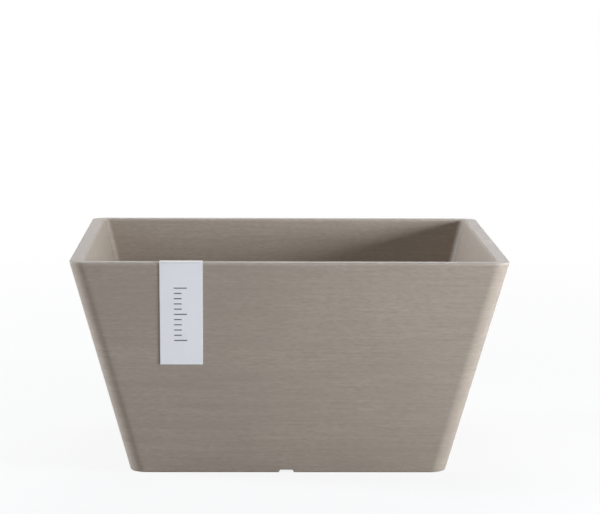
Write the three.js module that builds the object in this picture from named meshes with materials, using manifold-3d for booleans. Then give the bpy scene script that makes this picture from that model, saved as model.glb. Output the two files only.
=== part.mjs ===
// Square tapered plant pot: a moulded shell that stands on a shallow notched foot, a rubber plug
// in the drain hole of its floor, and a folded card band that hangs over the rim at the front.
//
// Millimetres. +Z is up, the front wall faces -Y, and the origin is on the ground under the
// middle of the pot.

import * as THREE from 'three';
import { mergeVertices } from 'three/addons/utils/BufferGeometryUtils.js';
import Module from 'manifold-3d';

const wasm = await Module();
wasm.setup();

// Outside of the shell
const RIM_SIDE = 300;
const BASE_SIDE = 220;
const HEIGHT = 152;
const CORNER_RADIUS = 11;
const RIM_EDGE_RADIUS = 0.6;
const BASE_EDGE_RADIUS = 2;

// Walls and floor: the wall is measured level, not square to its slope
const WALL = 9;
const INNER_CORNER_RADIUS = 5;
const FLOOR_THICKNESS = 6;
const FLOOR_FILLET = 6;
const SMALLEST_CORNER = 0.4;

// Foot: the flat ring that the pot stands on, with a notch near the middle of each side, a little
// to the left as seen from outside
const FOOT_HEIGHT = 3;
const FOOT_WIDTH = 11;
const FOOT_DRAFT = 0.6;
const RECESS_CORNER_RADIUS = 6;
const NOTCH_HEIGHT = 1.9;
const NOTCH_GROUND_WIDTH = 10.5;
const NOTCH_TOP_WIDTH = 8.6;
const NOTCH_OFFSET = 1.3;

// Drain: a hole through the floor with a seat above it and a boss and four ribs below it
const DRAIN_RADIUS = 9;
const SEAT_RADIUS = 14.5;
const SEAT_DEPTH = 2.2;
const BOSS_WALL = 4;
const BOSS_LIFT = 0.8;
const RIB_WIDTH = 3;
const RIB_LIFT = 1.2;
const RIB_BITE = 1.5;

// Plug: head, shank with sealing beads, hollow underside and a low bar to pull it by
const PLUG_CLEARANCE = 0.3;
const PLUG_HEAD_THICKNESS = 2.2;
const PLUG_HEAD_EDGE = 0.7;
const PLUG_BEAD_DEPTH = 0.5;
const PLUG_BEAD_HEIGHT = 1.4;
const PLUG_BEAD_COUNT = 2;
const PLUG_TIP_TAPER = 0.7;
const PLUG_WALL = 2.6;
const PLUG_ROOF = 2.7;
const GRIP_LENGTH = 15;
const GRIP_THICKNESS = 3.4;
const GRIP_HEIGHT = 3.8;
const GRIP_EDGE = 0.6;

// Card band: its middle lies left of the pot's middle
const BAND_MIDDLE_X = -73.8;
const BAND_WIDTH = 29.2;
const BAND_THICKNESS = 0.5;
const BAND_CLEARANCE = 0.3;
const BAND_FRONT_DROP = 72.4;
const BAND_INNER_DROP = 45;

// How finely curves are stepped
const CORNER_STEPS = 8;
const EDGE_STEPS = 4;
const FILLET_STEPS = 5;
const ROUND_STEPS = 40;
const BEAD_STEPS = 4;
const GRIP_STEPS = 8;
const GRIP_EDGE_STEPS = 3;
const BEND_STEPS = 6;

const MATERIALS = {
  shell: { color: 0x8c8177, roughness: 0.72, metalness: 0 },
  plug: { color: 0x2b2a29, roughness: 0.8, metalness: 0 },
  card: { color: 0xd9dce0, roughness: 0.55, metalness: 0 },
};

// The wall's slope, as level run for each millimetre of height
const SLOPE = (RIM_SIDE - BASE_SIDE) / 2 / HEIGHT;
const LEAN = Math.atan(SLOPE);
const STRETCH = Math.hypot(1, SLOPE);
const FLOOR_TOP = FOOT_HEIGHT + FLOOR_THICKNESS;

// Distance of the outer and the inner wall face from the middle at a height
const outerFace = (z) => BASE_SIDE / 2 + SLOPE * z;
const innerFace = (z) => outerFace(z) - WALL;

// The foot's flat face lies between the rounded lower edge and the recess under the floor
const FOOT_EDGE = outerFace(BASE_EDGE_RADIUS) - BASE_EDGE_RADIUS * STRETCH;
const RECESS = FOOT_EDGE - FOOT_WIDTH;

// The plug's head stands just clear of its seat
const SEAT = FLOOR_TOP - SEAT_DEPTH;
const PLUG_HEAD_LOW = SEAT + PLUG_CLEARANCE;
const PLUG_HEAD_TOP = PLUG_HEAD_LOW + PLUG_HEAD_THICKNESS;

// How far a cutting solid runs past the face that it cuts
const PAST = 1;

// Turns a three.js geometry into a solid, with shared corners and without collapsed triangles
function toSolid(geometry) {
  const bare = geometry.clone();
  bare.deleteAttribute('normal');
  bare.deleteAttribute('uv');
  const merged = mergeVertices(bare, 1e-4);
  const corners = merged.index.array;
  const kept = [];
  for (let i = 0; i < corners.length; i += 3) {
    const [a, b, c] = [corners[i], corners[i + 1], corners[i + 2]];
    if (a !== b && b !== c && c !== a) kept.push(a, b, c);
  }
  return new wasm.Manifold(new wasm.Mesh({
    numProp: 3,
    vertProperties: new Float32Array(merged.attributes.position.array),
    triVerts: new Uint32Array(kept),
  }));
}

function toGeometry(solid) {
  const mesh = solid.getMesh();
  const geometry = new THREE.BufferGeometry();
  geometry.setAttribute('position', new THREE.BufferAttribute(mesh.vertProperties, 3));
  geometry.setIndex(new THREE.BufferAttribute(mesh.triVerts, 1));
  return geometry;
}

function named(name, geometry, material) {
  const mesh = new THREE.Mesh(geometry, new THREE.MeshStandardMaterial(material));
  mesh.name = name;
  return mesh;
}

// Points on an arc about (x, z), from one angle to another, both included
function arc(x, z, radius, from, to, steps) {
  const points = [];
  for (let step = 0; step <= steps; step += 1) {
    const angle = from + (to - from) * step / steps;
    points.push([x + radius * Math.cos(angle), z + radius * Math.sin(angle)]);
  }
  return points;
}

// One level outline of the shell: a square with rounded corners, anticlockwise from above
function roundedSquare({ half, radius, z }) {
  const middle = half - radius;
  const points = [];
  for (let corner = 0; corner < 4; corner += 1) {
    const diagonal = (corner + 0.5) * Math.PI / 2;
    const centreX = middle * Math.sign(Math.cos(diagonal));
    const centreY = middle * Math.sign(Math.sin(diagonal));
    for (let step = 0; step <= CORNER_STEPS; step += 1) {
      const angle = (corner + step / CORNER_STEPS) * Math.PI / 2;
      points.push([centreX + radius * Math.cos(angle), centreY + radius * Math.sin(angle), z]);
    }
  }
  return points;
}

// A square form turned from a list of outlines, closed at its first and its last outline
function squareTurning(outlines) {
  const rings = outlines.map(roundedSquare);
  const count = rings[0].length;
  const positions = rings.flat(2);
  const first = rings.length * count;
  const last = first + 1;
  positions.push(0, 0, outlines[0].z, 0, 0, outlines[outlines.length - 1].z);
  const index = [];
  for (let j = 0; j < count; j += 1) {
    const next = (j + 1) % count;
    const top = (rings.length - 1) * count;
    index.push(first, next, j);
    index.push(last, top + j, top + next);
    for (let ring = 0; ring < rings.length - 1; ring += 1) {
      const low = ring * count;
      const high = low + count;
      index.push(low + j, low + next, high + next);
      index.push(low + j, high + next, high + j);
    }
  }
  const geometry = new THREE.BufferGeometry();
  geometry.setAttribute('position', new THREE.Float32BufferAttribute(positions, 3));
  geometry.setIndex(index);
  return geometry;
}

// An outline extruded along an axis: drawn as [across, up] and centred on the middle plane
function prism(points, length) {
  const shape = new THREE.Shape(points.map(([across, up]) => new THREE.Vector2(across, up)));
  const geometry = new THREE.ExtrudeGeometry(shape, { depth: length, bevelEnabled: false });
  geometry.translate(0, 0, -length / 2);
  geometry.rotateX(Math.PI / 2);
  return geometry;
}

// The arcs at the top of the wall, grown outwards by a distance: over the outer edge, then over
// the inner edge. The card band follows the same arcs.
function rimArcs(growth, steps) {
  const z = HEIGHT - RIM_EDGE_RADIUS;
  const outer = outerFace(z) - RIM_EDGE_RADIUS * STRETCH;
  const inner = innerFace(z) + RIM_EDGE_RADIUS * STRETCH;
  const radius = RIM_EDGE_RADIUS + growth;
  return [
    arc(outer, z, radius, -LEAN, Math.PI / 2, steps),
    arc(inner, z, radius, Math.PI / 2, Math.PI - LEAN, steps),
  ];
}

// The shell's outlines, from the roof of the recess under the floor, over the foot, up the
// outside, over the rim and down the inside to the floor
function shellOutlines() {
  const onOutside = ([half, z]) => {
    const radius = CORNER_RADIUS - (outerFace(z) - half);
    return { half, z, radius: Math.max(radius, SMALLEST_CORNER) };
  };
  const onInside = ([half, z]) => {
    const radius = INNER_CORNER_RADIUS - (innerFace(z) - half);
    return { half, z, radius: Math.max(radius, SMALLEST_CORNER) };
  };
  const base = arc(FOOT_EDGE, BASE_EDGE_RADIUS, BASE_EDGE_RADIUS, -Math.PI / 2, -LEAN, EDGE_STEPS);
  const [outerRim, innerRim] = rimArcs(0, EDGE_STEPS);
  const filletZ = FLOOR_TOP + FLOOR_FILLET;
  const filletX = innerFace(filletZ) - FLOOR_FILLET * STRETCH;
  const fillet = arc(filletX, filletZ, FLOOR_FILLET, -LEAN, -Math.PI / 2, FILLET_STEPS);
  return [
    { half: RECESS - FOOT_DRAFT, z: FOOT_HEIGHT, radius: RECESS_CORNER_RADIUS - FOOT_DRAFT },
    { half: RECESS, z: 0, radius: RECESS_CORNER_RADIUS },
    ...base.map(onOutside),
    ...outerRim.map(onOutside),
    ...innerRim.map(onInside),
    ...fillet.map(onInside),
  ];
}

function cylinder(radius, low, high) {
  const geometry = new THREE.CylinderGeometry(radius, radius, high - low, ROUND_STEPS);
  geometry.rotateX(Math.PI / 2);
  geometry.translate(0, 0, (low + high) / 2);
  return geometry;
}

function potShell() {
  let shell = toSolid(squareTurning(shellOutlines()));

  // Boss round the drain hole, and ribs from it to the corners of the foot
  const rooted = FOOT_HEIGHT + FLOOR_THICKNESS / 2;
  shell = shell.add(toSolid(cylinder(DRAIN_RADIUS + BOSS_WALL, BOSS_LIFT, rooted)));
  const recessCorner = Math.SQRT2 * (RECESS - RECESS_CORNER_RADIUS) + RECESS_CORNER_RADIUS;
  const ribHeight = rooted - RIB_LIFT;
  for (const turn of [Math.PI / 4, -Math.PI / 4]) {
    const rib = new THREE.BoxGeometry(2 * (recessCorner + RIB_BITE), RIB_WIDTH, ribHeight);
    rib.translate(0, 0, RIB_LIFT + ribHeight / 2);
    rib.rotateZ(turn);
    shell = shell.add(toSolid(rib));
  }

  // Drain hole and the seat for the plug's head
  shell = shell.subtract(toSolid(cylinder(DRAIN_RADIUS, -PAST, FLOOR_TOP + PAST)));
  shell = shell.subtract(toSolid(cylinder(SEAT_RADIUS, SEAT, FLOOR_TOP + PAST)));

  // A notch across the foot on each side lets water run out from underneath
  const flare = (NOTCH_GROUND_WIDTH - NOTCH_TOP_WIDTH) / 2 / NOTCH_HEIGHT * PAST;
  const notch = [
    [-NOTCH_GROUND_WIDTH / 2 - flare, -PAST],
    [NOTCH_GROUND_WIDTH / 2 + flare, -PAST],
    [NOTCH_TOP_WIDTH / 2, NOTCH_HEIGHT],
    [-NOTCH_TOP_WIDTH / 2, NOTCH_HEIGHT],
  ];
  const notchInner = RECESS - FOOT_DRAFT - PAST;
  const notchOuter = outerFace(NOTCH_HEIGHT) + PAST;
  for (let side = 0; side < 4; side += 1) {
    const cut = prism(notch, notchOuter - notchInner);
    cut.translate(-NOTCH_OFFSET, -(notchInner + notchOuter) / 2, 0);
    cut.rotateZ(side * Math.PI / 2);
    shell = shell.subtract(toSolid(cut));
  }
  return toGeometry(shell);
}

// The plug's half section, from its roof inside the hollow round to the top of its head
function plugProfile() {
  const headRadius = SEAT_RADIUS - PLUG_CLEARANCE;
  const bead = DRAIN_RADIUS - PLUG_CLEARANCE;
  const shank = bead - PLUG_BEAD_DEPTH;
  const tip = shank - PLUG_TIP_TAPER;
  const hollow = tip - PLUG_WALL;
  const pitch = (PLUG_HEAD_LOW - BOSS_LIFT) / (PLUG_BEAD_COUNT + 1);
  const points = [
    [0, PLUG_HEAD_TOP - PLUG_ROOF],
    [hollow, PLUG_HEAD_TOP - PLUG_ROOF],
    [hollow, BOSS_LIFT],
    [tip, BOSS_LIFT],
  ];
  for (let row = 1; row <= PLUG_BEAD_COUNT; row += 1) {
    const z = BOSS_LIFT + row * pitch;
    for (let step = 0; step <= BEAD_STEPS; step += 1) {
      const along = step / BEAD_STEPS;
      const out = PLUG_BEAD_DEPTH * Math.sin(Math.PI * along);
      points.push([shank + out, z + PLUG_BEAD_HEIGHT * (along - 0.5)]);
    }
  }
  points.push([shank, PLUG_HEAD_LOW], [headRadius, PLUG_HEAD_LOW]);
  const edgeX = headRadius - PLUG_HEAD_EDGE;
  const edgeZ = PLUG_HEAD_TOP - PLUG_HEAD_EDGE;
  points.push(...arc(edgeX, edgeZ, PLUG_HEAD_EDGE, 0, Math.PI / 2, EDGE_STEPS));
  points.push([0, PLUG_HEAD_TOP]);
  return points.map(([x, z]) => new THREE.Vector2(x, z));
}

// The low bar on the plug's head: a round-ended bar whose upper edge is bevelled
function gripBar() {
  const sunk = PLUG_HEAD_THICKNESS / 2;
  const end = GRIP_THICKNESS / 2 - GRIP_EDGE;
  const straight = GRIP_LENGTH / 2 - GRIP_THICKNESS / 2;
  const shape = new THREE.Shape();
  shape.absarc(straight, 0, end, -Math.PI / 2, Math.PI / 2, false);
  shape.absarc(-straight, 0, end, Math.PI / 2, 3 * Math.PI / 2, false);
  const geometry = new THREE.ExtrudeGeometry(shape, {
    depth: sunk + GRIP_HEIGHT - 2 * GRIP_EDGE,
    curveSegments: GRIP_STEPS,
    bevelSize: GRIP_EDGE,
    bevelThickness: GRIP_EDGE,
    bevelSegments: GRIP_EDGE_STEPS,
  });
  geometry.translate(0, 0, PLUG_HEAD_TOP - sunk + GRIP_EDGE);
  return geometry;
}

function drainPlug() {
  const turned = new THREE.LatheGeometry(plugProfile(), ROUND_STEPS);
  turned.rotateX(Math.PI / 2);
  return toGeometry(toSolid(turned).add(toSolid(gripBar())));
}

// One face of the folded card, at a distance from the wall: from the lower edge of the front leg,
// over the rim, to the lower edge of the inner leg
function cardFace(distance) {
  const [outer, inner] = rimArcs(distance, BEND_STEPS);
  const down = (point, drop) => {
    const length = (drop - RIM_EDGE_RADIUS) * STRETCH;
    return [point[0] - Math.sin(LEAN) * length, point[1] - Math.cos(LEAN) * length];
  };
  return [
    down(outer[0], BAND_FRONT_DROP),
    ...outer,
    ...inner,
    down(inner[inner.length - 1], BAND_INNER_DROP),
  ];
}

function labelBand() {
  const near = cardFace(BAND_CLEARANCE);
  const far = cardFace(BAND_CLEARANCE + BAND_THICKNESS);
  const section = [...near, ...far.reverse()];
  const geometry = prism(section, BAND_WIDTH);
  geometry.rotateZ(-Math.PI / 2);
  geometry.translate(BAND_MIDDLE_X, 0, 0);
  return toGeometry(toSolid(geometry));
}

const pot = new THREE.Group();
pot.add(named('pot_shell', potShell(), MATERIALS.shell));
pot.add(named('drain_plug', drainPlug(), MATERIALS.plug));
pot.add(named('label_band', labelBand(), MATERIALS.card));

export default pot;
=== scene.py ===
# Square tapered plant pot, with a rubber plug in its drain hole and a card band over its rim.
# Sizes are in millimetres in the pot's own frame: +Z up, the front wall at -Y, and the origin on
# the ground under the middle of the pot. Meshes are made in metres.

import math

import bpy
import numpy as np
from mathutils import Matrix, Vector


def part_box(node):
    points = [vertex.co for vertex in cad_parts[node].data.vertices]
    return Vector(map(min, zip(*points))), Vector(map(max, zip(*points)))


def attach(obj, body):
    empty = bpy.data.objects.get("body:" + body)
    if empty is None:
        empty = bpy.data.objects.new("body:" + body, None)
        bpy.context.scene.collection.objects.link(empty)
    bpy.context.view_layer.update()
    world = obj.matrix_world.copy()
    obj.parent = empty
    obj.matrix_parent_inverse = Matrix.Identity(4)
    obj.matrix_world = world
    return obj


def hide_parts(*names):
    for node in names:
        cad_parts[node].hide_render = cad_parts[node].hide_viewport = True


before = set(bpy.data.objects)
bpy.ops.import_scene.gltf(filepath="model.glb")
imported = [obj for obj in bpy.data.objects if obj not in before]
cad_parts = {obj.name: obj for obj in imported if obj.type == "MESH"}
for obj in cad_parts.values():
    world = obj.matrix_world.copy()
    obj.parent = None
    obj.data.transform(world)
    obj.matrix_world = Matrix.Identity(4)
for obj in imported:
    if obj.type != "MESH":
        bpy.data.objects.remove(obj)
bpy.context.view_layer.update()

# Pot shell
# One moulding of grey-brown plastic: four leaning walls on a notched foot, a flat rim, and a floor
# with a drain hole in it. The faces are brushed level, so fine streaks run round the pot.

MM = 0.001
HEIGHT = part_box("pot_shell")[1].z / MM
RIM_HALF = 150.0
BASE_HALF = 110.0
WALL = 9.0
OUTER_CORNER = 11.0
INNER_CORNER = 5.0
RIM_EDGE = 0.6
BASE_EDGE = 2.0
FOOT_HEIGHT = 3.0
FOOT_WIDTH = 11.0
FOOT_DRAFT = 0.6
RECESS_CORNER = 6.0
FLOOR_TOP = 9.0
FLOOR_FILLET = 6.0
NOTCH_HEIGHT = 1.9
NOTCH_GROUND_WIDTH = 10.5
NOTCH_TOP_WIDTH = 8.6
NOTCH_OFFSET = 1.3
NOTCH_REACH = 6.0
NOTCH_WINDOW = 8.0
DRAIN_RADIUS = 9.0
SEAT_RADIUS = 14.5
SEAT = 6.8
BOSS_RADIUS = 13.0
BOSS_LIFT = 0.8
RIB_WIDTH = 3.0
RIB_LIFT = 1.2
RIB_ROOT = 1.0
DRAIN_EDGE = 0.4
SEAT_FILLET = 0.3
SEAT_EDGE = 0.5
FOOT_INNER_EDGE = 0.5
RECESS_FILLET = 0.6
BOSS_EDGE = 0.5
FACE_SINK = 0.25
# How far down the wall the painted highlight under the rim edges reaches
RIM_HIGHLIGHT_REACH = 3.0

SLOPE = (RIM_HALF - BASE_HALF) / HEIGHT
LEAN = math.atan(SLOPE)
STRETCH = math.hypot(1, SLOPE)


def outer_face(z):
    """Distance of the outer wall face from the middle: it grows by the slope with height."""
    return BASE_HALF + SLOPE * z


def inner_face(z):
    """Distance of the inner wall face from the middle: the outer face less the wall."""
    return outer_face(z) - WALL


def rounded_path(corners, arc_steps, step, closed=True):
    """Points along a path of straight edges whose corners are turned by arcs.

    A corner is (x, z, arc radius). Where the path turns by an angle t, the arc of radius r begins
    r tan(t / 2) before the corner and ends as far past it, about a centre that lies r square to
    the edge. Straight stretches are stepped by about `step`, with a short step next to each arc,
    so that smooth shading stays flat there. Also returns how far each point has come: 3.25 is a
    quarter of the way from corner 3 to corner 4, and the points of arc 3 are all at 3.
    """
    support = 0.15
    place = np.array([corner[:2] for corner in corners], float)
    radius = [corner[2] for corner in corners]
    ahead = np.roll(place, -1, axis=0) - place
    ahead /= np.linalg.norm(ahead, axis=1, keepdims=True)
    behind = np.roll(ahead, 1, axis=0)
    turn = np.arctan2(
        behind[:, 0] * ahead[:, 1] - behind[:, 1] * ahead[:, 0], (behind * ahead).sum(1)
    )
    if not closed:
        turn[0] = turn[-1] = 0
    cut = radius * np.tan(abs(turn) / 2)
    points, come = [], []
    last = len(corners) - 1
    for k in range(last + 1):
        start = place[k] - behind[k] * cut[k] if turn[k] else place[k]
        if turn[k]:
            arm = radius[k] * np.sign(turn[k]) * np.array([behind[k][1], -behind[k][0]])
            angle = turn[k] * np.linspace(0, 1, arc_steps + 1)[:, None]
            across = np.array([-arm[1], arm[0]])
            points.append(start - arm + arm * np.cos(angle) + across * np.sin(angle))
        else:
            points.append(start[None])
        come.append(np.full(len(points[-1]), k, float))
        if k == last and not closed:
            break
        after = (k + 1) % len(corners)
        low = place[k] + ahead[k] * cut[k]
        high = place[after] - ahead[k] * cut[after]
        length = np.linalg.norm(high - low)
        part = np.linspace(0, 1, max(2, round(length / step)) + 1)[1:-1]
        if length > 4 * support:
            part = np.concatenate([[support / length], part, [1 - support / length]])
        points.append(low + (high - low) * part[:, None])
        come.append(k + part)
    return np.concatenate(points), np.concatenate(come)


def grid_faces(rows, columns, close_rows, close_columns):
    """Corner numbers of every cell of a grid, wrapping round where it is closed."""
    row = np.arange(rows if close_rows else rows - 1)[:, None]
    column = np.arange(columns if close_columns else columns - 1)[None]
    row_after, column_after = (row + 1) % rows, (column + 1) % columns
    corners = [
        row * columns + column,
        row_after * columns + column,
        row_after * columns + column_after,
        row * columns + column_after,
    ]
    return np.stack([np.broadcast_to(c, corners[1].shape) for c in corners], -1).reshape(-1, 4)


def closed_surface(points, rings=False):
    """A closed surface from a grid of points [row, column, xyz], closed across its columns.

    With rings, the last row joins the first, as on a tube bent into a ring. Otherwise one flat
    face caps the first row and another the last.
    """
    rows, columns = points.shape[:2]
    faces = [tuple(face) for face in grid_faces(rows, columns, rings, True).tolist()]
    if not rings:
        first = np.arange(columns)
        faces.append(tuple(first.tolist()))
        faces.append(tuple((first[::-1] + (rows - 1) * columns).tolist()))
    return points.reshape(-1, 3), faces


def mesh_piece(name, parts, attributes=None):
    """A smooth mesh object made of closed surfaces given in millimetres."""
    points, faces, start = [], [], 0
    for part_points, part_faces in parts:
        points.append(part_points)
        faces.extend(tuple(corner + start for corner in face) for face in part_faces)
        start += len(part_points)
    mesh = bpy.data.meshes.new(name)
    mesh.from_pydata((np.concatenate(points) * MM).tolist(), [], faces)
    mesh.polygons.foreach_set("use_smooth", np.ones(len(faces), bool))
    for key, values in (attributes or {}).items():
        column = mesh.attributes.new(key, "FLOAT", "POINT")
        column.data.foreach_set("value", values.astype(np.float32))
    piece = bpy.data.objects.new(name, mesh)
    bpy.context.collection.objects.link(piece)
    return piece


def outline_columns(corner_steps, straight):
    """Splits a square outline with rounded corners in complex numbers, three for each column.

    The first is where the centre of the rounding stands, on a square of half side 1. The second
    is which way the outline faces, and the outline is (half - radius) times the first plus radius
    times the second. The third is the direction that the whole side faces. `straight` is where
    the columns of a side's straight stretch stand, from -1 to 1.
    """
    facing = np.exp(0.5j * math.pi * np.linspace(0, 1, corner_steps + 1))
    side = np.where(facing.real > facing.imag, 1, 1j)
    stand = np.concatenate([np.full(len(facing), 1 + 1j), 1j - straight])
    facing = np.concatenate([facing, np.full(len(straight), 1j)])
    side = np.concatenate([side, np.full(len(straight), 1j)])
    turns = 1j ** np.arange(4)[:, None]
    return (turns * stand).ravel(), (turns * facing).ravel(), (turns * side).ravel()


def shell_surface():
    """The whole skin of the shell as one closed ring of rings.

    The section runs from the drain hole over the floor, up the inside, over the rim, down the
    outside, under the foot and back to the hole. Each of its points becomes a level outline: a
    square with rounded corners on the walls, a circle at the drain, and between them a blend.
    Near the middle of each side the foot's edge is lifted by the notch, which fades out up the
    wall, and the outer faces sink by a hair towards their middle, as a moulding's do. Also
    returns how far each point is down the wall from the rim.
    """
    notch_columns, side_columns, corner_steps = 49, 18, 16
    # Where three of the corners stand in the section's list
    outer_rim, ground_edge, recess_roof = 6, 7, 9
    foot_edge = outer_face(BASE_EDGE) - BASE_EDGE * STRETCH
    recess = foot_edge - FOOT_WIDTH
    roof = recess - FOOT_DRAFT
    # Each corner: distance from the middle, height, arc radius, plan radius, roundness
    section = [
        (DRAIN_RADIUS, BOSS_LIFT, DRAIN_EDGE, DRAIN_RADIUS, 1),
        (DRAIN_RADIUS, SEAT, DRAIN_EDGE, DRAIN_RADIUS, 1),
        (SEAT_RADIUS, SEAT, SEAT_FILLET, SEAT_RADIUS, 1),
        (SEAT_RADIUS, FLOOR_TOP, SEAT_EDGE, SEAT_RADIUS, 1),
        (inner_face(FLOOR_TOP), FLOOR_TOP, FLOOR_FILLET, INNER_CORNER, 0),
        (inner_face(HEIGHT), HEIGHT, RIM_EDGE, INNER_CORNER, 0),
        (outer_face(HEIGHT), HEIGHT, RIM_EDGE, OUTER_CORNER, 0),
        (outer_face(0), 0, BASE_EDGE, OUTER_CORNER, 0),
        (recess, 0, FOOT_INNER_EDGE, RECESS_CORNER, 0),
        (roof, FOOT_HEIGHT, RECESS_FILLET, RECESS_CORNER - FOOT_DRAFT, 0),
        (BOSS_RADIUS, FOOT_HEIGHT, RECESS_FILLET, BOSS_RADIUS, 1),
        (BOSS_RADIUS, BOSS_LIFT, BOSS_EDGE, BOSS_RADIUS, 1),
    ]
    path, come = rounded_path([corner[:3] for corner in section], arc_steps=6, step=4.0)
    marks = np.arange(len(section) + 1)
    plan_radii = [corner[3] for corner in section + section[:1]]
    roundnesses = [corner[4] for corner in section + section[:1]]
    plan = np.interp(come, marks, plan_radii)[:, None]
    round_share = np.interp(come, marks, roundnesses)[:, None]
    half, z = path[:, :1], path[:, 1:]

    # The last columns of a side stand close to the corner, so that its shading stays flat
    straight_end = BASE_HALF - OUTER_CORNER
    near_end = 0.997 * straight_end
    about_notch = np.linspace(-NOTCH_WINDOW, NOTCH_WINDOW, notch_columns)
    beside_notch = np.linspace(NOTCH_WINDOW, near_end, side_columns)[1:]
    straight = np.concatenate([-beside_notch[::-1], about_notch, beside_notch])
    stand, facing, side = outline_columns(corner_steps, straight / straight_end)
    # On circles the columns stand along rays through a square whose corners are a tenth rounded
    ray = 0.9 * stand + 0.1 * facing
    squared = (half - plan) * stand + plan * facing
    level = (1 - round_share) * squared + round_share * half * ray / abs(ray)

    across = level.real * side.imag - level.imag * side.real
    flare = (NOTCH_GROUND_WIDTH - NOTCH_TOP_WIDTH) / 2
    from_notch = abs(across - NOTCH_OFFSET)
    notch = NOTCH_HEIGHT * np.clip((NOTCH_GROUND_WIDTH / 2 - from_notch) / flare, 0, 1)
    outside = ((come > outer_rim - 0.5) & (come < ground_edge + 0.5))[:, None]
    reach = np.where(outside, NOTCH_REACH, FOOT_HEIGHT)
    at_foot = ((come > outer_rim) & (come < recess_roof + 0.5))[:, None]
    lift = at_foot * notch * np.clip(1 - z / reach, 0, 1)
    bow = np.cos(0.5 * math.pi * across / RIM_HALF) * np.sin(math.pi * z / HEIGHT)
    level = level + outside * facing * (SLOPE * lift - FACE_SINK * bow)
    z = z + lift
    down = np.broadcast_to((HEIGHT - z) * STRETCH, level.shape)
    points = np.stack([level.real, level.imag, np.broadcast_to(z, level.shape)], -1)
    return points, down


def rib_surface(turn, inner, outer):
    """A straight rib under the floor, from the boss to a corner of the foot, at a turn about Z.

    Its section is a rounded bar: a superellipse of power 4, as wide as the rib and reaching from
    its root in the floor down to the rib's lower edge.
    """
    section_columns, rows, power = 32, 12, 4
    angle = np.linspace(0, 2 * math.pi, section_columns + 1)[:-1]
    cos, sin = np.cos(angle), np.sin(angle)
    root = FOOT_HEIGHT + RIB_ROOT
    half_depth = (root - RIB_LIFT) / 2
    across = RIB_WIDTH / 2 * np.sign(cos) * abs(cos) ** (2 / power)
    up = root - half_depth + half_depth * np.sign(sin) * abs(sin) ** (2 / power)
    along = np.linspace(inner, outer, rows)[:, None]
    across, up = across[None] + 0 * along, up[None] + 0 * along
    spun = (along + 1j * across) * np.exp(1j * turn)
    return np.stack([spun.real, spun.imag, up], -1)


shell_points, shell_down = shell_surface()
shell_parts = [closed_surface(shell_points, rings=True)]
rib_inner = DRAIN_RADIUS + RIB_ROOT
rib_outer = math.sqrt(2) * (BASE_HALF - FOOT_WIDTH - RECESS_CORNER)
for turn in np.arange(1, 8, 2) * math.pi / 4:
    shell_parts.append(closed_surface(rib_surface(turn, rib_inner, rib_outer)))
ribs_down = [np.zeros(len(points)) for points, _ in shell_parts[1:]]
shell_down = np.concatenate([shell_down.ravel()] + ribs_down)
shell = mesh_piece("pot_shell_skin", shell_parts, {"down": shell_down})


class Value:
    """A number at a shader socket. Arithmetic on it adds the Math nodes that work it out."""

    def __init__(self, finish, socket):
        self.finish = finish
        self.socket = socket

    def work(self, operation, *terms):
        return self.finish.node("ShaderNodeMath", {"operation": operation}, dict(enumerate(terms)))

    def __add__(self, other):
        return self.work("ADD", self, other)

    def __radd__(self, other):
        return self.work("ADD", other, self)

    def __sub__(self, other):
        return self.work("SUBTRACT", self, other)

    def __rsub__(self, other):
        return self.work("SUBTRACT", other, self)

    def __mul__(self, other):
        return self.work("MULTIPLY", self, other)

    def __rmul__(self, other):
        return self.work("MULTIPLY", other, self)

    def __truediv__(self, other):
        return self.work("DIVIDE", self, other)

    def __abs__(self):
        return self.work("ABSOLUTE", self)

    def over(self, edge):
        """1 where the number is above the edge, else 0."""
        return self.work("GREATER_THAN", self, edge)

    def at_most(self, other):
        """The lower of the two numbers."""
        return self.work("MINIMUM", self, other)

    def at_least(self, other):
        """The higher of the two numbers."""
        return self.work("MAXIMUM", self, other)


class Finish:
    """A material or world in the making, to which node() adds any node."""

    def __init__(self, owner):
        self.owner = owner
        owner.use_nodes = True
        self.tree = owner.node_tree
        self.tree.nodes.clear()

    def node(self, kind, settings=None, sockets=None, output=0):
        """Adds a node, sets its settings, then its sockets, and gives back one of its outputs.

        A number comes back as a Value, and a colour, vector or shader as its socket.
        """
        node = self.tree.nodes.new(kind)
        for key, setting in (settings or {}).items():
            setattr(node, key, setting)
        for key, given in (sockets or {}).items():
            given = given.socket if isinstance(given, Value) else given
            if isinstance(given, bpy.types.NodeSocket):
                self.tree.links.new(given, node.inputs[key])
            else:
                node.inputs[key].default_value = given
        if not node.outputs:
            return None
        socket = node.outputs[output]
        return Value(self, socket) if socket.type == "VALUE" else socket

    def place(self):
        """The three object coordinates as numbers, in millimetres."""
        at = self.node("ShaderNodeTexCoord", output="Object")
        axes = ["X", "Y", "Z"]
        return [self.node("ShaderNodeSeparateXYZ", {}, {0: at}, axis) / MM for axis in axes]

    def noise(self, x, y, z, detail=2.0, rough=0.5):
        """Noise about 0, roughly from -0.5 to 0.5, at a place given by three numbers."""
        at = self.node("ShaderNodeCombineXYZ", {}, {0: x, 1: y, 2: z})
        sockets = {"Vector": at, "Scale": 1.0, "Detail": detail, "Roughness": rough}
        return self.node("ShaderNodeTexNoise", {}, sockets) - 0.5

    def blend(self, share, first, second):
        """A colour between two others."""
        sockets = {0: share, 6: first, 7: second}
        settings = {"data_type": "RGBA", "clamp_factor": True}
        return self.node("ShaderNodeMix", settings, sockets, 2)

    def relief(self, height, depth):
        """A normal for bumps of the given height, as a share of a depth in millimetres."""
        return self.node("ShaderNodeBump", {}, {"Height": height, "Distance": depth * MM})

    def surface(self, sockets):
        """Ends the material in one Principled shader."""
        shader = self.node("ShaderNodeBsdfPrincipled", {}, sockets)
        self.node("ShaderNodeOutputMaterial", {}, {"Surface": shader})


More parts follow.
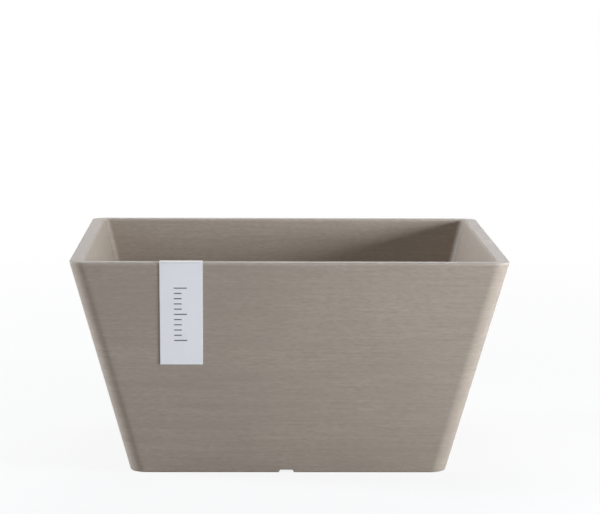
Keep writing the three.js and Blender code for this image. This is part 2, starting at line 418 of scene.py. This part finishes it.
def shell_finish():
    """Brushed plastic: streaks run level round the pot, because the noise that makes them is
    stretched along x and y and tight down the wall, with a fine grain over them. The flat of the
    rim is rougher, and just under its edges the colour is painted paler, by the square of how
    near the edge is: a painted highlight that stands in for light on the rounded rim edges."""
    finish = Finish(bpy.data.materials.new("shell_plastic_brushed"))
    x, y, z = finish.place()
    down = finish.node("ShaderNodeAttribute", {"attribute_name": "down"}, {}, "Fac")
    short = finish.noise(x * 0.20, y * 0.20, down * 0.75, detail=3.0, rough=0.6)
    long = finish.noise(x * 0.022, y * 0.022, down * 0.70, detail=3.0, rough=0.6)
    broad = finish.noise(x * 0.010, y * 0.010, down * 0.14, detail=2.0)
    cloud = finish.noise(x * 0.016, y * 0.016, z * 0.016, detail=2.0)
    grain = finish.noise(x * 2.2, y * 2.2, z * 2.2, detail=2.0, rough=0.6)
    streaks = (short * 0.6 + long * 0.4) * (1 + broad * 1.5 + cloud)
    tone = 0.5 + streaks * 2.4 + broad * 0.55 + cloud * 0.5 + grain * 0.4
    colour = finish.blend(tone, (0.265, 0.212, 0.162, 1), (0.359, 0.288, 0.225, 1))
    # Painted highlight: just under the rim edges the colour is painted paler, in place of light
    # falling on the rounded edge
    below_edge = (1 - down / RIM_HIGHLIGHT_REACH).at_least(0)
    off_flat = (down / RIM_EDGE).at_most(1)
    painted_rim_highlight = below_edge * below_edge * off_flat * (1 + short * 1.5)
    colour = finish.blend(painted_rim_highlight, colour, (0.490, 0.423, 0.354, 1))
    normal = finish.relief(streaks * 0.6 + grain * 0.4, 0.12)
    finish.surface({
        "Base Color": colour,
        "Roughness": 0.85 - off_flat * 0.25 + streaks * 0.12,
        "IOR": 1.6,
        "Sheen Weight": 0.15,
        "Sheen Roughness": 0.3,
        "Normal": normal,
    })
    return finish.owner


shell.data.materials.append(shell_finish())
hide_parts("pot_shell")
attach(shell, "pot")

# Drain plug
# A moulded rubber stopper: a flat head on the seat of the drain hole, a hollow shank with two
# sealing beads that stands in the hole, and a low bar on the head to pull it out by.

PLUG_HEAD_RADIUS = 14.2
PLUG_HEAD_LOW = 7.1
PLUG_HEAD_TOP = 9.3
PLUG_HEAD_EDGE = 0.7
PLUG_SHANK = 8.2
PLUG_TIP = 7.5
PLUG_BEAD = 0.5
PLUG_HOLLOW = 4.9
PLUG_HOLLOW_TOP = 6.6
PLUG_HOLLOW_FILLET = 0.8
PLUG_TIP_EDGE = 0.5
PLUG_SMALL_EDGE = 0.4
PLUG_FILLET = 0.3
PLUG_BEAD_HALF = 0.7
PLUG_POLE = 0.4
GRIP_LENGTH = 15.0
GRIP_THICKNESS = 3.4
GRIP_TOP = 13.1
GRIP_EDGE = 0.9
GRIP_FILLET = 0.8
GRIP_FILLET_RISE = 1.0
GRIP_ROOT = 0.6


def plug_surface():
    """The plug turned about Z: its half section with rounded corners, at every angle. The two
    poles are closed by flat faces of a small radius."""
    beads = [BOSS_LIFT + (PLUG_HEAD_LOW - BOSS_LIFT) * share for share in (1 / 3, 2 / 3)]
    section = [
        (PLUG_POLE, PLUG_HOLLOW_TOP, 0),
        (PLUG_HOLLOW, PLUG_HOLLOW_TOP, PLUG_HOLLOW_FILLET),
        (PLUG_HOLLOW, BOSS_LIFT, PLUG_SMALL_EDGE),
        (PLUG_TIP, BOSS_LIFT, PLUG_TIP_EDGE),
    ]
    for z in beads:
        section += [
            (PLUG_SHANK, z - PLUG_BEAD_HALF, PLUG_FILLET),
            (PLUG_SHANK + PLUG_BEAD, z, PLUG_SMALL_EDGE),
            (PLUG_SHANK, z + PLUG_BEAD_HALF, PLUG_FILLET),
        ]
    section += [
        (PLUG_SHANK, PLUG_HEAD_LOW, PLUG_FILLET),
        (PLUG_HEAD_RADIUS, PLUG_HEAD_LOW, PLUG_FILLET),
        (PLUG_HEAD_RADIUS, PLUG_HEAD_TOP, PLUG_HEAD_EDGE),
        (PLUG_POLE, PLUG_HEAD_TOP, 0),
    ]
    path, _ = rounded_path(section, arc_steps=5, step=1.0, closed=False)
    columns = 96
    turn = np.exp(2j * math.pi * np.arange(columns) / columns)
    level = path[::-1, :1] * turn
    z = np.broadcast_to(path[::-1, 1:], level.shape)
    return np.stack([level.real, level.imag, z], -1)


def grip_surface():
    """The bar on the plug: a stack of level superellipses, of power 2 / 0.6, that shrink over its
    top edge by a quarter circle, and widen at its foot by a small fillet."""
    rows, columns, exponent = 28, 64, 0.6
    low = PLUG_HEAD_TOP - GRIP_ROOT
    z = np.linspace(low, GRIP_TOP, rows)[:, None]
    near_top = np.clip((z - (GRIP_TOP - GRIP_EDGE)) / GRIP_EDGE, 0, 1)
    inset = GRIP_EDGE * (1 - np.sqrt(1 - near_top**2))
    foot = GRIP_FILLET * np.clip(1 - (z - PLUG_HEAD_TOP) / GRIP_FILLET_RISE, 0, 1) ** 2
    angle = 2 * math.pi * np.arange(columns)[None] / columns
    cos, sin = np.cos(angle), np.sin(angle)
    length = GRIP_LENGTH / 2 - inset + foot
    width = GRIP_THICKNESS / 2 - inset + foot
    x = length * np.sign(cos) * abs(cos) ** exponent
    y = width * np.sign(sin) * abs(sin) ** exponent
    return np.stack([x, y, z + 0 * x], -1)[::-1]


plug_parts = [closed_surface(plug_surface()), closed_surface(grip_surface())]
plug = mesh_piece("drain_plug_rubber", plug_parts)


def plug_finish():
    """Black rubber with a fine grain and a dusty, slightly paler bloom in patches."""
    finish = Finish(bpy.data.materials.new("plug_rubber_black"))
    x, y, z = finish.place()
    bloom = finish.noise(x * 0.12, y * 0.12, z * 0.12, detail=3.0)
    grain = finish.noise(x * 3.0, y * 3.0, z * 3.0, detail=2.0)
    colour = finish.blend(0.5 + bloom * 1.2, (0.016, 0.016, 0.016, 1), (0.042, 0.041, 0.039, 1))
    finish.surface({
        "Base Color": colour,
        "Roughness": 0.62 + bloom * 0.3,
        "Normal": finish.relief(grain, 0.08),
    })
    return finish.owner


plug.data.materials.append(plug_finish())
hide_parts("drain_plug")
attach(plug, "plug")

# Card band
# A strip of coated white card, folded over the rim at the front and creased there. It hangs by
# its own weight and carries a plain printed scale of short lines.

BAND_MIDDLE_X = -73.8
BAND_WIDTH = 29.2
BAND_THICKNESS = 0.4
BAND_CLEARANCE = 0.1
BAND_EDGE = 0.12
BAND_FRONT_DROP = 72.4
BAND_INNER_DROP = 45.0
SCALE_LEFT = -4.9
SCALE_TOP = 18.5
SCALE_PITCH = 3.85
SCALE_LINES = 11
SCALE_LINE_WIDTH = 0.8
SCALE_LONG = 8.8
SCALE_SHORT = 5.2
SCALE_GROUP = 5
UNPRINTED_DROP = -1000.0


def band_surface():
    """The card carried over the rim: a flat oblong section with round edges, swept along the
    pot's own section at a distance from the wall. Returns the points and, for the print, how far
    each is down the front leg and across it; points that take no print are put far away."""
    off = BAND_CLEARANCE + BAND_THICKNESS / 2
    edge = RIM_EDGE + off
    top = HEIGHT + off
    front = outer_face(top) + off * STRETCH
    inner = inner_face(top) - off * STRETCH
    low_front = HEIGHT - BAND_FRONT_DROP
    low_inner = HEIGHT - BAND_INNER_DROP
    corners = [
        (front - SLOPE * (top - low_front), low_front, 0),
        (front, top, edge),
        (inner, top, edge),
        (inner - SLOPE * (top - low_inner), low_inner, 0),
    ]
    path, come = rounded_path(corners, arc_steps=10, step=1.5, closed=False)
    along = np.gradient(path, axis=0)
    along /= np.linalg.norm(along, axis=1, keepdims=True)
    normal = np.stack([along[:, 1], -along[:, 0]], 1)
    wide, thick = BAND_WIDTH / 2, BAND_THICKNESS / 2
    oblong = [(-wide, thick), (wide, thick), (wide, -thick), (-wide, -thick)]
    section, _ = rounded_path([(*corner, BAND_EDGE) for corner in oblong], arc_steps=3, step=2.0)
    side, out = section.T
    y = -(path[:, :1] + normal[:, :1] * out)
    z = path[:, 1:] + normal[:, 1:] * out
    x = BAND_MIDDLE_X + side[None] + 0 * z
    drop = (HEIGHT - z) * STRETCH
    printed = (come < 1)[:, None] & (out > 0)[None]
    return (
        np.stack([x, y, z], -1),
        np.where(printed, drop, UNPRINTED_DROP),
        np.broadcast_to(side[None], z.shape),
    )


band_points, band_drop, band_across = band_surface()
band_marks = {"drop": band_drop.ravel(), "across": band_across.ravel()}
band = mesh_piece("label_band_card", [closed_surface(band_points)], band_marks)


def band_finish():
    """Coated card with a faint fibre, and a scale of lines printed in dark grey. A line is printed
    where the place down the band, folded into one pitch, is within half a line of its middle,
    and the first line of each group is a long one."""
    finish = Finish(bpy.data.materials.new("band_card_white"))
    x, y, z = finish.place()
    drop = finish.node("ShaderNodeAttribute", {"attribute_name": "drop"}, {}, "Fac")
    across = finish.node("ShaderNodeAttribute", {"attribute_name": "across"}, {}, "Fac")
    fibre = finish.noise(x * 0.9, y * 0.9, z * 0.9, detail=3.0)
    cloud = finish.noise(x * 0.05, y * 0.05, z * 0.05)
    card = finish.blend(
        0.5 + fibre * 0.5 + cloud * 0.6, (0.835, 0.803, 0.788, 1), (0.900, 0.868, 0.850, 1)
    )
    pitch = (drop - SCALE_TOP) / SCALE_PITCH
    nearest = pitch.work("ROUND", pitch)
    on_line = 1 - (abs(pitch - nearest) * SCALE_PITCH).over(SCALE_LINE_WIDTH / 2)
    on_scale = 1 - abs(pitch - (SCALE_LINES - 1) / 2).over(SCALE_LINES / 2)
    in_group = nearest.work("MODULO", nearest, SCALE_GROUP)
    length = SCALE_SHORT + (1 - in_group.over(0.5)) * (SCALE_LONG - SCALE_SHORT)
    in_length = across.over(SCALE_LEFT) * (1 - (across - SCALE_LEFT).over(length))
    ink = on_line * on_scale * in_length
    colour = finish.blend(ink * 0.92, card, (0.060, 0.060, 0.066, 1))
    finish.surface({
        "Base Color": colour,
        "Roughness": 0.7 + fibre * 0.1,
        "Specular IOR Level": 0.1,
        "Normal": finish.relief(fibre, 0.02),
    })
    return finish.owner


band.data.materials.append(band_finish())
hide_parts("label_band")
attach(band, "band")

# Studio
# A white floor that keeps the pot's shadow, an even white surround, and soft panels of light to
# the right and the left, behind and above the pot.

FLOOR_SIZE = 40.0
FLOOR_WHITE = 0.75
SURROUND = 0.08
SHADOW_SHARE = 0.14
SHADOW_FULL = 350.0
SHADOW_FADE = 900.0
COOL_TINT = (0.91, 1.00, 1.12)


def seen_rays(finish):
    """1 for rays from the camera, or reflected or let through by a surface, else 0."""
    names = ["Is Camera Ray", "Is Glossy Ray", "Is Transmission Ray"]
    rays = [finish.node("ShaderNodeLightPath", {}, {}, name) for name in names]
    return rays[0].at_least(rays[1]).at_least(rays[2])


def floor_finish():
    """White paper. Seen by the camera it is mostly plain white, with a share of its real shade
    left near the pot, so that the shadow shows and fades out into white."""
    finish = Finish(bpy.data.materials.new("studio_floor"))
    x, y, z = finish.place()
    square = x * x + y * y
    distance = square.work("SQRT", square)
    near = 1 - ((distance - SHADOW_FULL) / SHADOW_FADE).at_least(0).at_most(1)
    paper = finish.node("ShaderNodeBsdfDiffuse", {}, {"Color": (FLOOR_WHITE,) * 3 + (1,)})
    white = finish.node("ShaderNodeEmission", {}, {"Strength": 1.0})
    share = seen_rays(finish) * (1 - near * SHADOW_SHARE)
    mixed = finish.node("ShaderNodeMixShader", {}, {0: share, 1: paper, 2: white})
    finish.node("ShaderNodeOutputMaterial", {}, {"Surface": mixed})
    return finish.owner


half_floor = FLOOR_SIZE / 2
floor_mesh = bpy.data.meshes.new("floor")
floor_corners = [
    (-half_floor, -half_floor, 0),
    (half_floor, -half_floor, 0),
    (half_floor, half_floor, 0),
    (-half_floor, half_floor, 0),
]
floor_mesh.from_pydata(floor_corners, [], [(0, 1, 2, 3)])
floor_mesh.materials.append(floor_finish())
floor = bpy.data.objects.new("floor", floor_mesh)
bpy.context.collection.objects.link(floor)

world = bpy.data.worlds.new("surround")
bpy.context.scene.world = world
surround = Finish(world)
strength = SURROUND + (1 - SURROUND) * seen_rays(surround)
background = surround.node("ShaderNodeBackground", {}, {"Strength": strength})
surround.node("ShaderNodeOutputWorld", {}, {"Surface": background})


def softbox(name, place, size, power, tint=(1, 1, 1)):
    """A soft panel of light, in metres and watts, facing the middle of the pot."""
    lamp = bpy.data.lights.new(name, "AREA")
    lamp.color = tint
    lamp.shape = "RECTANGLE"
    lamp.size, lamp.size_y = size
    lamp.energy = power
    panel = bpy.data.objects.new(name, lamp)
    bpy.context.collection.objects.link(panel)
    aim = Vector((0, 0, HEIGHT * MM / 2)) - Vector(place)
    turned = aim.to_track_quat("-Z", "Y").to_matrix().to_4x4()
    panel.matrix_world = Matrix.Translation(place) @ turned


softbox("key_panel", (0.97, -0.52, 0.28), (0.35, 0.22), 15.0, COOL_TINT)
softbox("right_high_panel", (1.20, 0.00, 1.40), (1.00, 1.00), 3.0)
softbox("back_high_panel", (0.00, 1.20, 1.60), (1.00, 1.00), 16.0)
softbox("top_panel", (0.00, 0.00, 1.80), (1.20, 1.20), 2.0)
softbox("left_strip", (-1.59, 0.14, 0.50), (0.25, 0.90), 28.0, COOL_TINT)

# Camera
# A long lens a little to the left of the pot's middle and above its rim, looking slightly down.
# Its place, turn and lens come from fitting the pot's corners to the photograph's.

CAMERA_PLACE = (-0.0279, -1.9728, 0.3683)
CAMERA_YAW = -0.0190
CAMERA_DIP = 0.1159
CAMERA_ROLL = 0.0043
CAMERA_LENS = 162.86

camera_data = bpy.data.cameras.new("camera")
camera_data.lens = CAMERA_LENS
camera_data.sensor_width = 36
camera_data.clip_end = 100
camera = bpy.data.objects.new("camera", camera_data)
bpy.context.collection.objects.link(camera)
camera.matrix_world = (
    Matrix.Translation(CAMERA_PLACE)
    @ Matrix.Rotation(CAMERA_YAW, 4, "Z")
    @ Matrix.Rotation(math.pi / 2 - CAMERA_DIP, 4, "X")
    @ Matrix.Rotation(CAMERA_ROLL, 4, "Z")
)
bpy.context.scene.camera = camera
bpy.context.scene.view_settings.view_transform = "Standard"
